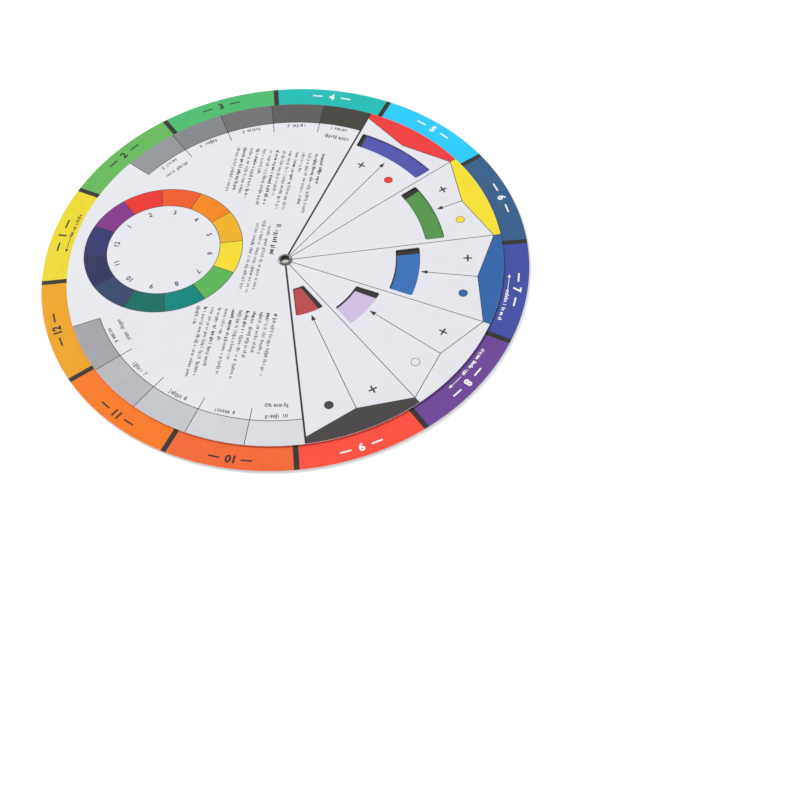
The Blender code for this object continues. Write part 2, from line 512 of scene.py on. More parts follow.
# %% [markdown]
# ## Flat shapes
# Everything printed is put together from a few flat shapes: a line round the pivot, a straight ribbon, a
# dot, an arrowhead, plain blocks and figures. Long ones are ruled between their two sides in short steps,
# so that they follow the drooping card.

# %% Flat shapes
GRID_STEP = 5 * MM
ARC_STEP_DEG = 2
DOT_SIDES = 24


def ruled(side_a, side_b, colour, closed=False):
    """A grid between two rows of points: (1 - v) a + v b, in steps short enough to follow the card."""
    width = np.linalg.norm(side_a - side_b, axis=1).max()
    v = np.linspace(0, 1, int(np.ceil(width / GRID_STEP)) + 1)[:, None, None]
    points = ((1 - v) * side_a + v * side_b).reshape(-1, 2)
    return points, grid_faces(len(v), len(side_a), closed), colour


def arc_line(radius, width, start, end, colour, closed=False):
    """A line round the pivot from one angle to another, half its width on either side of its radius."""
    turn = np.linspace(start, end, max(1, math.ceil(abs(end - start) / ARC_STEP_DEG)) + 1)
    if closed:
        turn = turn[:-1]
    return ruled(polar(radius - width / 2, turn), polar(radius + width / 2, turn), colour, closed)


def circle(radius, width, colour):
    """A line all the way round the pivot."""
    return arc_line(radius, width, 0, 360, colour, closed=True)


def ribbon(start, end, width, colour):
    """A straight strip: the line from start to end, moved half a width to either side."""
    start, end = np.array(start), np.array(end)
    length = np.linalg.norm(end - start)
    across = np.array((start[1] - end[1], end[0] - start[0])) / length * width / 2
    line = start + (end - start) * np.linspace(0, 1, math.ceil(length / GRID_STEP) + 1)[:, None]
    return ruled(line - across, line + across, colour)


def dot(radius, colour):
    """A round dot at the origin: a fan of triangles about its centre."""
    index = np.arange(DOT_SIDES)
    rim = polar(radius, index * 360 / DOT_SIDES)
    faces = np.column_stack((np.full(DOT_SIDES, DOT_SIDES), index, (index + 1) % DOT_SIDES))
    return np.vstack((rim, (0, 0))), faces, colour


def arrowhead(length, width, colour):
    """A triangle that points along +X, with its tip at the origin."""
    points = np.array(((-length, -width / 2), (0, 0), (-length, width / 2)))
    return points, np.array(((0, 1, 2),)), colour


def blocks(left, right, bottom, top, colour):
    """Plain upright rectangles, one for each entry of the four arrays."""
    x = np.stack((left, right, right, left), axis=1)
    y = np.stack((bottom, bottom, top, top), axis=1)
    faces = np.arange(x.size).reshape(-1, 4)
    return np.stack((x, y), axis=-1).reshape(-1, 2), faces, colour


print("a dot has", len(dot(1, (0, 0, 0))[1]), "faces")

# %% [markdown]
# ## Placing the shapes
# A shape is made at the origin, where it is easy to draw, and then turned and shifted as a whole. Two more
# ways suit a dial: stood upright at some angle, or wrapped round the pivot as a line of print on a rim is.

# %% Placing flat shapes
def moved(sheet, turn=0, x=0, y=0):
    """The sheet turned about the origin by some degrees, then shifted."""
    points, faces, colours = sheet
    c, s = math.cos(math.radians(turn)), math.sin(math.radians(turn))
    return points @ np.array(((c, s), (-s, c))) + (x, y), faces, colours


def on_dial(sheet, radius, angle, tops_out=True):
    """The sheet stood on the dial at an angle, with its top towards the rim or towards the pivot."""
    return moved(sheet, angle - 90 if tops_out else angle + 90, *polar(radius, angle))


def bent(sheet, radius, angle):
    """The sheet wrapped round the pivot, reading clockwise: x runs along the arc, y adds to the radius."""
    points, faces, colours = sheet
    return polar(radius + points[:, 1], angle - np.degrees(points[:, 0] / radius)), faces, colours


print("a dot stood at 90 degrees is centred", moved(dot(1, (0, 0, 0)), 90)[0].mean(axis=0).round(6))

# %% [markdown]
# ## Figures
# Figures could be drawn as strokes; Blender's own font gives them in one step, and growing their outlines
# makes them bolder. Its 4 has a side too short to see, which turns over when it grows and fills the hole,
# so the 4 is drawn from two outlines of its own. Bold curves get fewer steps, because finer ones cross in
# the notches of 3 and 9. Each figure is made once, about one unit high, and scaled when it is used.

# %% Figures
PLAIN_WEIGHT = 0.018
BOLD_WEIGHT = 0.040
CURVE_STEPS = {PLAIN_WEIGHT: 4, BOLD_WEIGHT: 3}
HOLE_GROWTH = 0.5
FOUR_OUTSIDE = ((0.40, 0.69), (0.36, 0.69), (0.01, 0.27), (0.01, 0.22), (0.30, 0.22), (0.30, 0.0),
                (0.40, 0.0), (0.40, 0.22), (0.47, 0.22), (0.47, 0.31), (0.40, 0.31))
FOUR_HOLE = ((0.30, 0.50), (0.30, 0.31), (0.14, 0.31))
FOUR_TRIANGLES = ((5, 6, 7), (5, 7, 4), (7, 8, 9), (7, 9, 10), (4, 7, 10), (4, 10, 12), (3, 4, 12),
                  (3, 12, 13), (2, 3, 13), (1, 2, 13), (1, 13, 11), (0, 1, 11), (0, 11, 12), (0, 12, 10))
figures = {}


def grown(outline, distance):
    """Each side moved to its right by the distance; a corner goes to where its two moved sides meet."""
    along = np.roll(outline, -1, axis=0) - outline
    along /= np.linalg.norm(along, axis=1, keepdims=True)
    out = np.column_stack((along[:, 1], -along[:, 0]))
    before = np.roll(out, 1, axis=0)
    return outline + distance * (out + before) / (1 + (out * before).sum(axis=1, keepdims=True))


def drawn_four(weight):
    """Its two outlines grown; the hole closes by half of what the outside grows, so that it stays open."""
    outside = grown(np.array(FOUR_OUTSIDE), weight)
    return np.vstack((outside, grown(np.array(FOUR_HOLE), weight * HOLE_GROWTH))), np.array(FOUR_TRIANGLES)


def drawn_in_font(text, weight):
    """The built-in font's outlines, grown outwards by the weight and filled flat."""
    data = bpy.data.curves.new("figure", "FONT")
    data.body = text
    data.resolution_u = CURVE_STEPS[weight]
    data.offset = weight
    outline = bpy.data.objects.new("figure", data)
    bpy.context.scene.collection.objects.link(outline)
    bpy.context.view_layer.update()
    mesh = bpy.data.meshes.new_from_object(outline.evaluated_get(bpy.context.evaluated_depsgraph_get()))
    places = np.empty(3 * len(mesh.vertices))
    mesh.vertices.foreach_get("co", places)
    corners = np.empty(3 * len(mesh.polygons), dtype=np.int64)
    mesh.polygons.foreach_get("vertices", corners)
    bpy.data.objects.remove(outline)
    bpy.data.curves.remove(data)
    bpy.data.meshes.remove(mesh)
    return places.reshape(-1, 3)[:, :2], corners.reshape(-1, 3)


def drawn(text, weight):
    """A figure's points and triangles, about one unit high, made once and kept."""
    if (text, weight) not in figures:
        figures[text, weight] = drawn_four(weight) if text == "4" else drawn_in_font(text, weight)
    return figures[text, weight]


def figure(text, height, colour, weight=PLAIN_WEIGHT, mirrored=1):
    """A figure of the given height, centred on the origin; a plain nought sets the height for them all."""
    points, faces = drawn(text, weight)
    nought = drawn("0", weight)[0][:, 1]
    centre = ((points[:, 0].min() + points[:, 0].max()) / 2, (nought.min() + nought.max()) / 2)
    return (points - centre) * height / np.ptp(nought) * (mirrored, 1), faces, colour


print("figure 8 has", len(drawn("8", PLAIN_WEIGHT)[1]), "triangles, 4 has", len(drawn("4", PLAIN_WEIGHT)[1]))

# %% [markdown]
# ## Laying ink
# A print is many sheets made one mesh, each closed as a thin slab on the card's face. Solid colours lie on
# level 1 and lines and figures on level 2, one film higher, so that no two films share a height where they
# cross.

# %% Laying ink
INK_FILM = 0.012 * MM
INK_SINK = 0.010 * MM


def print_layer(name, sheets, node, outward, level):
    """Joins the sheets and lays them on the node's front face (outward 1) or back face (outward -1)."""
    low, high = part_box(node)
    face_z = high.z if outward > 0 else low.z
    heights = (face_z + outward * level * INK_FILM, face_z - outward * INK_SINK)
    placed, faces, colours, offset = [], [], [], 0
    for sheet in sheets:
        points, skins, skin_inks, walls, wall_inks = slab(node, *sheet, *heights)
        placed.append(points)
        faces += [skins + offset, walls + offset]
        colours += [skin_inks, wall_inks]
        offset += len(points)
    put_piece(name, node, np.vstack(placed), faces, (ink_material,), colours=np.vstack(colours))
    print(name, "has", len(sheets), "sheets and", sum(map(len, faces)), "faces")


print("films stand", INK_FILM / MM, "and", 2 * INK_FILM / MM, "mm above the card")

# %% [markdown]
# ## Twelve inks and their mixtures
# The rim shows twelve inks, and under the windows lie five rings, one for each colour added. A table of
# sixty swatches could be typed in; a rule says more. Each hue is some amount of red, yellow and blue paint,
# by how far round the wheel it stands from each of them. Adding a primary adds to its amount, and the
# colour is read from a cube whose corners are the paints and their full mixtures. White makes the film of
# ink thinner, so its colour is raised to a small power, and black mixes it with a dark grey.

# %% Inks and mixtures
DARK_INK = linear("#393634")
LINE_INK = linear("#3E3B39")
CARD_INK = linear(CARD_WHITE)
HUES = {
    "blue_violet": "#3A618D", "blue": "#2CCCFB", "blue_green": "#22BEB5", "green": "#50BB71",
    "yellow_green": "#67B85B", "yellow": "#EBD832", "yellow_orange": "#EBA423", "orange": "#F87B24",
    "red_orange": "#F26B37", "red": "#FB5142", "red_violet": "#6F4999", "violet": "#4652A4",
}
PAINT_CORNERS = {
    (0, 0, 0): "#F4F1E6", (1, 0, 0): "#E4303A", (0, 1, 0): "#F6E03A", (0, 0, 1): "#0B87C3",
    (1, 1, 0): "#F08A1E", (0, 1, 1): "#5AA855", (1, 0, 1): "#5658AE", (1, 1, 1): "#4A4038",
}
PRIMARY_PLACES = (8, 0, 4)
FULL_WITHIN = 2
GONE_AT = 4
TINT_FILM = 0.235
SHADE_SHARE = 0.55
SHADE_GREY = linear("#564D5B")
hue_inks = np.array([linear(code) for code in HUES.values()])
places_from_yellow = (list(HUES).index("yellow") - np.arange(SECTORS)) % SECTORS


def paint_amounts():
    """Red, yellow and blue in each hue: 1 within 2 places of the primary, then ((4 - apart) / 2) squared."""
    apart = np.abs(places_from_yellow[:, None] - PRIMARY_PLACES)
    apart = np.minimum(apart, SECTORS - apart)
    return np.clip((GONE_AT - apart) / (GONE_AT - FULL_WITHIN), 0, 1) ** 2


def paint_colour(amounts):
    """Trilinear in the paint cube: each corner weighs in by amount or 1 - amount along each paint."""
    colour = np.zeros(amounts.shape)
    for corner, code in PAINT_CORNERS.items():
        weight = np.where(np.array(corner) == 1, amounts, 1 - amounts).prod(axis=1)
        colour += weight[:, None] * linear(code)
    return colour


def mixtures():
    """Five rings of twelve colours: red, yellow and blue added, then white and black."""
    rings = []
    for added in np.eye(3):
        mixed = paint_amounts() + added
        rings.append(paint_colour(mixed / mixed.max(axis=1, keepdims=True)))
    shaded = hue_inks * (1 - SHADE_SHARE) + SHADE_GREY * SHADE_SHARE
    return np.array((*rings, hue_inks ** TINT_FILM, shaded))


front_rings = mixtures()
print("sixty mixtures from", len(HUES), "inks; the lightest is", front_rings.max().round(2))

# %% [markdown]
# ## The sheet of hues on the base disc
# The front of the base disc is one printed sheet: a dark ground, the band of twelve hues at the rim and the
# five rings of mixtures, in one polar grid. Between two hues runs a dark bar, whose two columns stand
# asin(half width / r) from its middle; the others share out what is left. The bars widen towards the pivot,
# and each ring is shifted a little against its window, so that a thin dark arc of the ground shows beside
# it: print, and partly painted shade along the window's cut edge. Bars and turns are listed from the
# innermost ring outwards.

# %% Sheet of hues
DIVIDER_DEG = 6.42
BAND_INNER = 103.5 * MM
BAND_BAR = 2.5 * MM
RING_BARS = np.array((5.6, 6.0, 5.2, 4.2, 3.0)) * MM
PRINT_MARGIN = 0.035 * MM
SHEET_INNER = 3.0 * MM
# Shifts of each ring's inner and outer edge: the dark arcs they bare are print and partly painted shade.
RING_SHIFTS = np.array(((0.5, -0.1), (0.3, -0.2), (0.4, -0.1), (0.7, 0.7), (0.2, 0.7))) * MM
RING_TURNS_DEG = np.array((0.0, 0.0, 0.0, 0.0, 0.8))
HUE_SPANS = 12


def hue_sheet(rings, ring_inks, divider):
    """One closed grid; a sector's columns share out what asin(half bar / r) leaves on either side of it."""
    rows = filled(np.unique([SHEET_INNER, *np.ravel(rings), BAND_INNER, BASE_RADIUS - PRINT_MARGIN]))
    in_rings = rows < BAND_INNER
    middles = np.mean(rings, axis=1)[::-1]
    bar = np.where(in_rings, np.interp(rows, middles, RING_BARS[-len(rings):]), BAND_BAR)
    half = np.degrees(np.arcsin(bar / 2 / np.maximum(rows, rings.min())))[:, None, None]
    turn = np.where(in_rings, np.interp(rows, middles, RING_TURNS_DEG[-len(rings):]), 0)[:, None, None]
    starts = (divider + SECTOR_DEG * np.arange(SECTORS))[None, :, None] + turn
    angle = starts + half + (SECTOR_DEG - 2 * half) * np.linspace(0, 1, HUE_SPANS + 1)
    angle = angle.reshape(len(rows), -1)
    colours = np.tile(DARK_INK, (len(rows) - 1, SECTORS, HUE_SPANS + 1, 1))
    middle = (rows[:-1] + rows[1:]) / 2
    for (inner, outer), inks in zip(rings, ring_inks):
        colours[(middle > inner) & (middle < outer), :, :HUE_SPANS] = inks[:, None]
    colours[middle > BAND_INNER, :, :HUE_SPANS] = hue_inks[:, None]
    points = polar(rows[:, None], angle).reshape(-1, 2)
    return points, grid_faces(*angle.shape, closed=True), colours.reshape(-1, 3)


front_sheet = hue_sheet(FRONT_ROWS + RING_SHIFTS, front_rings, DIVIDER_DEG)
print_layer("hue_and_mixture_print", [front_sheet], "base_disc", 1, 1)

# %% [markdown]
# ## Numbers on the rim
# Each hue is numbered, clockwise from yellow, with a short dash on either side. Figures are white on the
# deep hues and dark on the light ones.

# %% Numbers on the rim
LABEL_RADIUS = 112.6 * MM
LABEL_HEIGHT = 4.2 * MM
DASH_REACH = np.array((4.8, 10.0)) * MM
DASH_WIDTH = 0.8 * MM
WHITE_INK = linear("#F6F6F4")
DEEP_HUES = {"blue_green", "blue", "blue_violet", "violet", "red_violet", "red"}


def rim_numbers(divider, mirrored=1):
    """A number and two dashes for each hue, standing at the middle of its part of the band."""
    sheets = []
    near, far = np.degrees(DASH_REACH / LABEL_RADIUS)
    for place, (hue, from_yellow) in enumerate(zip(HUES, places_from_yellow)):
        ink = WHITE_INK if hue in DEEP_HUES else DARK_INK
        middle = divider + SECTOR_DEG * (place + 0.5)
        number = figure(str(from_yellow + 1), LABEL_HEIGHT, ink, BOLD_WEIGHT, mirrored)
        sheets.append(on_dial(number, LABEL_RADIUS, middle))
        for side in (-1, 1):
            sheets.append(arc_line(LABEL_RADIUS, DASH_WIDTH, middle + side * near, middle + side * far, ink))
    return sheets


rim_sheets = rim_numbers(DIVIDER_DEG)
print(len(rim_sheets), "sheets for the numbers and their dashes")

# %% [markdown]
# ## Marks in place of words
# Small print is a texture from a step away, so plain blocks stand where the words would be. Each line is
# four arrays: letter-wide blocks at an even pitch, with a gap after each word and some taller or deeper.

# %% Marks in place of words
MARK_HEIGHT = 1.15 * MM
HEADING_HEIGHT = 1.7 * MM
BOLD_INK = linear("#4A4848")
FINE_INK = linear("#838388")
LETTER_SHARE = 0.78
STEM_SHARES = (0.34, 0.62, 0.62, 0.8)
TOP_SHARES = (1.0, 1.0, 1.0, 1.42)
FOOT_SHARES = (0.0, 0.0, 0.0, 0.0, -0.34)
WORD_LENGTHS = (2, 10)


def mark_line(width, height, ink, random, lengths=WORD_LENGTHS):
    """One line of marks from x = 0 to the width, on y = 0, with the given height for a plain mark."""
    pitch = LETTER_SHARE * height
    count = max(1, int(width / pitch))
    ends = np.cumsum(random.integers(*lengths, size=count))
    used = ~np.isin(np.arange(count), ends)
    left = pitch * np.arange(count)[used]
    right = left + pitch * random.choice(STEM_SHARES, used.sum())
    top = height * random.choice(TOP_SHARES, used.sum())
    bottom = height * random.choice(FOOT_SHARES, used.sum())
    return blocks(left, right, bottom, top, ink)


def paragraph(width_shares, bold_shares, width, pitch, random, centred):
    """Lines of marks under each other from the origin down, each starting with a darker stretch."""
    sheets = []
    for row, (share, bold) in enumerate(zip(width_shares, bold_shares)):
        start = (1 - share) * width / 2 if centred else 0
        for left, right, ink in ((0, bold, BOLD_INK), (bold, 1, FINE_INK)):
            length = (right - left) * share * width
            if length > MARK_HEIGHT:
                line = mark_line(length, MARK_HEIGHT, ink, random)
                sheets.append(moved(line, 0, start + left * share * width, -row * pitch))
    return sheets


sample = mark_line(20 * MM, MARK_HEIGHT, DARK_INK, np.random.default_rng(1))
print("a line 20 mm long has", len(sample[1]), "marks")

# %% [markdown]
# ## Arrows on the rim
# Three small arrows lie nearer the dial. Each points along the band, away from a short run of marks.

# %% Arrows on the rim
ARROW_RADIUS = 108.1 * MM
ARROW_SHAFT = 0.3 * MM
ARROW_HEAD = (2.0 * MM, 1.5 * MM)
RIM_MARK_HEIGHT = 1.25 * MM
RIM_ARROWS = (
    (-9.0, -5.0, -19.5, WHITE_INK),
    (-38.3, -41.8, -28.5, WHITE_INK),
    (171.5, 175.8, 163.5, DARK_INK),
)


def rim_arrow(tail, tip, marks_end, ink, random):
    """A shaft along the band, a head at its tip, and a line of marks on the other side of its tail."""
    way = math.copysign(1, tip - tail)
    head_place = polar(ARROW_RADIUS, tip + way * math.degrees(ARROW_HEAD[0] / ARROW_RADIUS))
    head = moved(arrowhead(*ARROW_HEAD, ink), tip + way * 90, *head_place)
    span = math.radians(abs(marks_end - tail)) * ARROW_RADIUS
    line = moved(mark_line(span, RIM_MARK_HEIGHT, ink, random), 0, 0, -RIM_MARK_HEIGHT / 2)
    shaft = arc_line(ARROW_RADIUS, ARROW_SHAFT, tail, tip, ink)
    return [shaft, head, bent(line, ARROW_RADIUS, max(tail, marks_end))]


rim_random = np.random.default_rng(3)
for arrow in RIM_ARROWS:
    rim_sheets += rim_arrow(*arrow, rim_random)
print_layer("rim_numbers_print", rim_sheets, "base_disc", 1, 2)

# %% [markdown]
# ## The front dial: coloured flags
# The fan of five sectors says what each window adds. A coloured flag sits at the dial's edge: its outer
# side follows the edge, and its inner side is a shallow V. It could be cut out of a ring; ruled between its
# two sides it needs no cut. It stops a hair short of its sector's edges, so that no two flags share a wall,
# and the line printed there hides the gap.

# %% Coloured flags
FLAG_OUTER = DIAL_RADIUS - PRINT_MARGIN
FLAG_CORNER = 101.9 * MM
FLAG_POINT = 93.2 * MM
FLAG_STEPS = 24
FLAG_GAP_DEG = 0.02
FLAG_INKS = ("#F03F3F", "#F5E036", "#3467AA", None, "#494747")


def flag(middle, ink):
    """Ruled between the dial's edge and two straight lines that meet at a point on the sector's middle."""
    half = SECTOR_DEG / 2 - FLAG_GAP_DEG
    rim = polar(FLAG_OUTER, np.linspace(middle - half, middle + half, FLAG_STEPS + 1))
    ends = polar(FLAG_CORNER, np.array((middle - half, middle + half)))
    point = polar(FLAG_POINT, middle)
    share = np.linspace(0, 1, FLAG_STEPS // 2 + 1)[:, None]
    inner = np.vstack((ends[0] + (point - ends[0]) * share, (point + (ends[1] - point) * share)[1:]))
    return ruled(rim, inner, ink)


flags = [flag(middle, linear(code)) for middle, code in zip(FAN_MIDDLES, FLAG_INKS) if code]
print(len(flags), "flags, each", round((FLAG_OUTER - FLAG_POINT) / MM, 1), "mm deep in its middle")

# %% [markdown]
# ## The front dial: lines and arrows
# Hairlines part the sectors, from the eyelet to the edge, and the fan's two outer lines are heavier. An
# arrow points from each flag to its window; the first starts at the eyelet, as its window lies beside its
# flag.

# %% Lines and arrows of the fan
HAIRLINE = 0.34 * MM
HEAVY_LINE = 0.9 * MM
LINE_START = 3.5 * MM
ARROW_TIPS = (76.7 * MM, 81.1 * MM, 67.5 * MM, 53.4 * MM, 37.8 * MM)
DIAL_ARROW = (3.3 * MM, 2.3 * MM)


def spoke(angle, start, width=HAIRLINE, ink=LINE_INK):
    """A straight line from a radius out to the dial's edge."""
    return ribbon(polar(start, angle), polar(FLAG_OUTER, angle), width, ink)


def flag_outline(middle):
    """The V in a hairline, from each corner to the point."""
    corners = [polar(FLAG_CORNER, middle + side * SECTOR_DEG / 2) for side in (-1, 1)]
    return [ribbon(corner, polar(FLAG_POINT, middle), HAIRLINE, LINE_INK) for corner in corners]


def dial_arrow(middle, start, tip):
    """A hairline along the sector's middle with a filled head; it points the way from start to tip."""
    line = ribbon(polar(start, middle), polar(tip, middle), HAIRLINE, LINE_INK)
    way = 1 if tip > start else -1
    head_place = polar(tip + way * DIAL_ARROW[0] / 2, middle)
    return [line, moved(arrowhead(*DIAL_ARROW, LINE_INK), middle if way > 0 else middle + 180, *head_place)]


lines = []
for middle, tip in zip(FAN_MIDDLES, ARROW_TIPS):
    start = LINE_START if middle == FAN_MIDDLES[0] else FLAG_POINT
    lines += flag_outline(middle) + dial_arrow(middle, start, tip)
fan_edges = FAN_MIDDLES[0] + SECTOR_DEG * (0.5 - np.arange(len(FAN_MIDDLES) + 1))
lines += [spoke(edge, LINE_START) for edge in fan_edges[1:-1]]
lines += [spoke(edge, LINE_START, HEAVY_LINE, DARK_INK) for edge in fan_edges[[0, -1]]]
print("fan edges at", fan_edges, "degrees")

# %% [markdown]
# ## The front dial: grey scale
# Ten greys run round the dial's edge in two runs of five, dark at the fan's upper line and light at its
# lower one. The steps aren't quite even on the card, so each run is written as its six edges. Five
# stretches of a ring would meet in double walls; one grid, whose faces take the ink of their step, has
# none. A hairline follows the inner arc, and short ticks part the steps.

# %% Grey scale
SCALE_INNER = 92.2 * MM
SCALE_TICK = 85.6 * MM
DARK_EDGES = (69.0, 82.8, 97.8, 112.7, 127.7, 142.7)
LIGHT_EDGES = (-81.0, -96.0, -111.2, -126.6, -142.1, -157.7)
DARK_GREYS = ("#464540", "#5E5D5B", "#727174", "#84878A", "#939799")
LIGHT_GREYS = ("#DBDBE1", "#D3D4D9", "#C4C7CC", "#B7B8BD", "#A3A4AA")
STEP_SPANS = 8


def stepped_ring(inner, outer, edges, codes, closed=False):
    """A stretch of a ring as one grid, with the same number of columns and one ink for each step."""
    starts, ends = np.array(edges[:-1]), np.array(edges[1:])
    turn = (starts[:, None] + (ends - starts)[:, None] * np.arange(STEP_SPANS) / STEP_SPANS).ravel()
    if not closed:
        turn = np.append(turn, edges[-1])
    points, faces, _ = ruled(polar(inner, turn), polar(outer, turn), None, closed)
    inks = np.repeat([linear(code) for code in codes], STEP_SPANS, axis=0)
    return points, faces, np.tile(inks, (len(faces) // len(inks), 1))


def grey_lines(edges):
    """A hairline along the inner arc, and one at each step's far end; all but the last reach further in."""
    arc = arc_line(SCALE_INNER - HAIRLINE / 2, HAIRLINE, edges[0], edges[-1], LINE_INK)
    return [arc, *[spoke(edge, SCALE_TICK) for edge in edges[1:-1]], spoke(edges[-1], SCALE_INNER)]


greys = []
for edges, codes in ((DARK_EDGES, DARK_GREYS), (LIGHT_EDGES, LIGHT_GREYS)):
    greys.append(stepped_ring(SCALE_INNER, FLAG_OUTER, edges, codes))
    lines += grey_lines(edges)
print(len(greys), "runs of greys, the first with", len(greys[0][1]), "faces")

# %% [markdown]
# ## The front dial: figures of the grey scale
# Each grey has its number inside the ring, with its top towards the pivot, after a short word's worth of
# marks. Farther in stand a percentage at both ends of the scale and a few more marks. All are set straight,
# because on so short a stretch the arc can't be told from a line.

# %% Figures of the grey scale
SCALE_LABEL = 89.4 * MM
SCALE_NOTE = 83.6 * MM
SCALE_HEIGHT = 2.0 * MM
SCALE_MARK_HEIGHT = 1.5 * MM
WORD_GAP = 0.9 * MM
ONE_WORD = 7.1 * MM
TWO_WORDS = 14.1 * MM
SIX_LETTERS = (6, 7)
SMALL_INK = linear("#5E5C5C")


def scale_marks(width, random):
    """Six-letter words of marks beside the scale's figures, from x = 0 and standing on the figures' foot."""
    line = mark_line(width, SCALE_MARK_HEIGHT, FINE_INK, random, SIX_LETTERS)
    return moved(line, 0, 0, -SCALE_HEIGHT / 2)


def label(text, random, marks_first=True):
    """A figure and a word of marks side by side, centred on the origin by their whole width."""
    number = figure(text, SCALE_HEIGHT, SMALL_INK)
    width = np.ptp(number[0][:, 0])
    whole = width + WORD_GAP + ONE_WORD
    number_x, marks_x = (whole - width) / 2, -whole / 2
    if not marks_first:
        number_x, marks_x = -number_x, whole / 2 - ONE_WORD
    return [moved(number, 0, number_x), moved(scale_marks(ONE_WORD, random), 0, marks_x)]


scale_random = np.random.default_rng(5)
labels = []
for edges, numbers, end_text in ((DARK_EDGES, range(1, 6), "100%"), (LIGHT_EDGES, range(10, 5, -1), "0%")):
    middles = (np.array(edges[:-1]) + edges[1:]) / 2
    for middle, number in zip(middles, numbers):
        labels += [on_dial(part, SCALE_LABEL, middle, False) for part in label(str(number), scale_random)]
    end_note = label(end_text, scale_random, marks_first=False)
    labels += [on_dial(part, SCALE_NOTE, middles[0], False) for part in end_note]
    note = moved(scale_marks(TWO_WORDS, scale_random), 0, -TWO_WORDS / 2)
    labels.append(on_dial(note, SCALE_NOTE, middles[-1], False))
print(len(labels), "figures and stretches of marks")

# %% [markdown]
# ## The front dial: the small wheel of hues
# A plain ring of twelve hues is printed opposite the fan. It is the same kind of grid as a run of greys,
# but closed. Hairlines follow both its rims and part the hues, and inside stands a number for each hue. All
# is made about the origin before it is moved to its place.

# %% Small wheel of hues
RING_CENTRE = polar(60.4 * MM, 173.2)
RING_OUTER = 38.6 * MM
RING_INNER = 27.6 * MM
RING_EDGES = 157.5 - SECTOR_DEG * np.arange(SECTORS + 1)
RING_HUES = ("#843789", "#E93932", "#EF5D2C", "#F3881D", "#EFB228", "#F6DC36",
             "#5DB557", "#08857B", "#136D62", "#37486C", "#2F325E", "#36376E")
RING_NUMBER_RADIUS = 23.4 * MM
RING_NUMBER_HEIGHT = 2.7 * MM
RING_LINE = 0.3 * MM


def small_wheel_lines():
    """Two closed rings, and a short ribbon and a number for each hue."""
    sheets = [circle(radius, RING_LINE, DARK_INK) for radius in (RING_INNER, RING_OUTER)]
    for place, edge in enumerate(RING_EDGES[:-1]):
        sheets.append(ribbon(polar(RING_INNER, edge), polar(RING_OUTER, edge), RING_LINE, LINE_INK))
        number = figure(str(place + 1), RING_NUMBER_HEIGHT, DARK_INK)
        sheets.append(on_dial(number, RING_NUMBER_RADIUS, edge - SECTOR_DEG / 2))
    return sheets


small_ring = moved(stepped_ring(RING_INNER, RING_OUTER, RING_EDGES, RING_HUES, closed=True), 0, *RING_CENTRE)
ring_lines = [moved(sheet, 0, *RING_CENTRE) for sheet in small_wheel_lines()]
print("small wheel of", len(small_ring[1]), "faces with", len(ring_lines), "lines and numbers")

# %% [markdown]
# ## The front dial: signs for adding
# Beside each sector's middle line a plus sign and a dot of paint say what that window adds. A dot is a dark
# disc with a smaller one of the paint's colour on it, so that white shows on the white card too.

# %% Signs for adding
SIGN_RADII = (70.8 * MM, 88.2 * MM, 88.0 * MM, 87.5 * MM, 87.3 * MM)
SIGN_DEG = 7.0
PLUS_SIZE = 4.2 * MM
PLUS_WIDTH = 0.8 * MM
DOT_RADIUS = 2.2 * MM
DOT_RIM = 0.25 * MM


def plus_sign(ink):
    """Two crossed bars; the upright one is in two halves, so that no two sheets overlap."""
    half, bar = PLUS_SIZE / 2, PLUS_WIDTH / 2
    left, right = np.array((-half, -bar, -bar)), np.array((half, bar, bar))
    bottom, top = np.array((-bar, bar, -half)), np.array((bar, half, -bar))
    return blocks(left, right, bottom, top, ink)


signs, paints = [], []
for middle, radius, code in zip(FAN_MIDDLES, SIGN_RADII, FLAG_INKS):
    paint = linear(code) if code else CARD_INK
    signs.append(on_dial(plus_sign(DARK_INK), radius, middle + SIGN_DEG))
    signs.append(on_dial(dot(DOT_RADIUS, DARK_INK), radius, middle - SIGN_DEG))
    paints.append(on_dial(dot(DOT_RADIUS - DOT_RIM, paint), radius, middle - SIGN_DEG))
print(len(signs), "signs and", len(paints), "dots of paint")

# %% [markdown]
# ## The front dial: small print
# Three blocks of small print and a heading fill the space between the scales. They all read one way, so
# they are laid out flat, in millimetres right of and above the pivot, and turned as a whole. The widths of
# the lines, and how much of each is bold, are shares of the block's width.

# %% Small print
PRINT_TURN_DEG = -97.0
PARAGRAPHS = (
    {"corner": (-70.6, 5.6), "width": 42.5, "pitch": 3.38, "centred": False,
     "width_shares": (0.5, 0.98, 0.86, 0.34, 0.94, 0.93, 0.72, 0.9, 0.92, 0.42, 0.82, 0.76, 0.7, 0.73),
     "bold_shares": (1, 0.48, 0, 0, 0.58, 0, 0, 1, 0, 0, 1, 0, 1, 0)},
    {"corner": (32.4, 1.2), "width": 41.0, "pitch": 3.38, "centred": False,
     "width_shares": (0.9, 0.6, 0.6, 0.66, 0.97, 0.74, 0.93, 0.47, 0.83, 0.97, 1.0, 0.28),
     "bold_shares": (0.18, 0.24, 0.3, 0.33, 0.36, 0, 0.46, 0, 0.8, 0, 0.2, 0)},
    {"corner": (-23.5, -12.2), "width": 46.0, "pitch": 3.1, "centred": True,
     "width_shares": (0.88, 1.0, 0.9), "bold_shares": (0, 0, 0)},
)
HEADING_CORNER = (-21.8, -8.4)
HEADING_WIDTH = 20.0 * MM


def laid_out(sheets, corner):
    """The sheets shifted to a corner given in millimetres, then turned with all the small print."""
    x, y = np.array(corner) * MM
    return [moved(moved(sheet, 0, x, y), PRINT_TURN_DEG) for sheet in sheets]


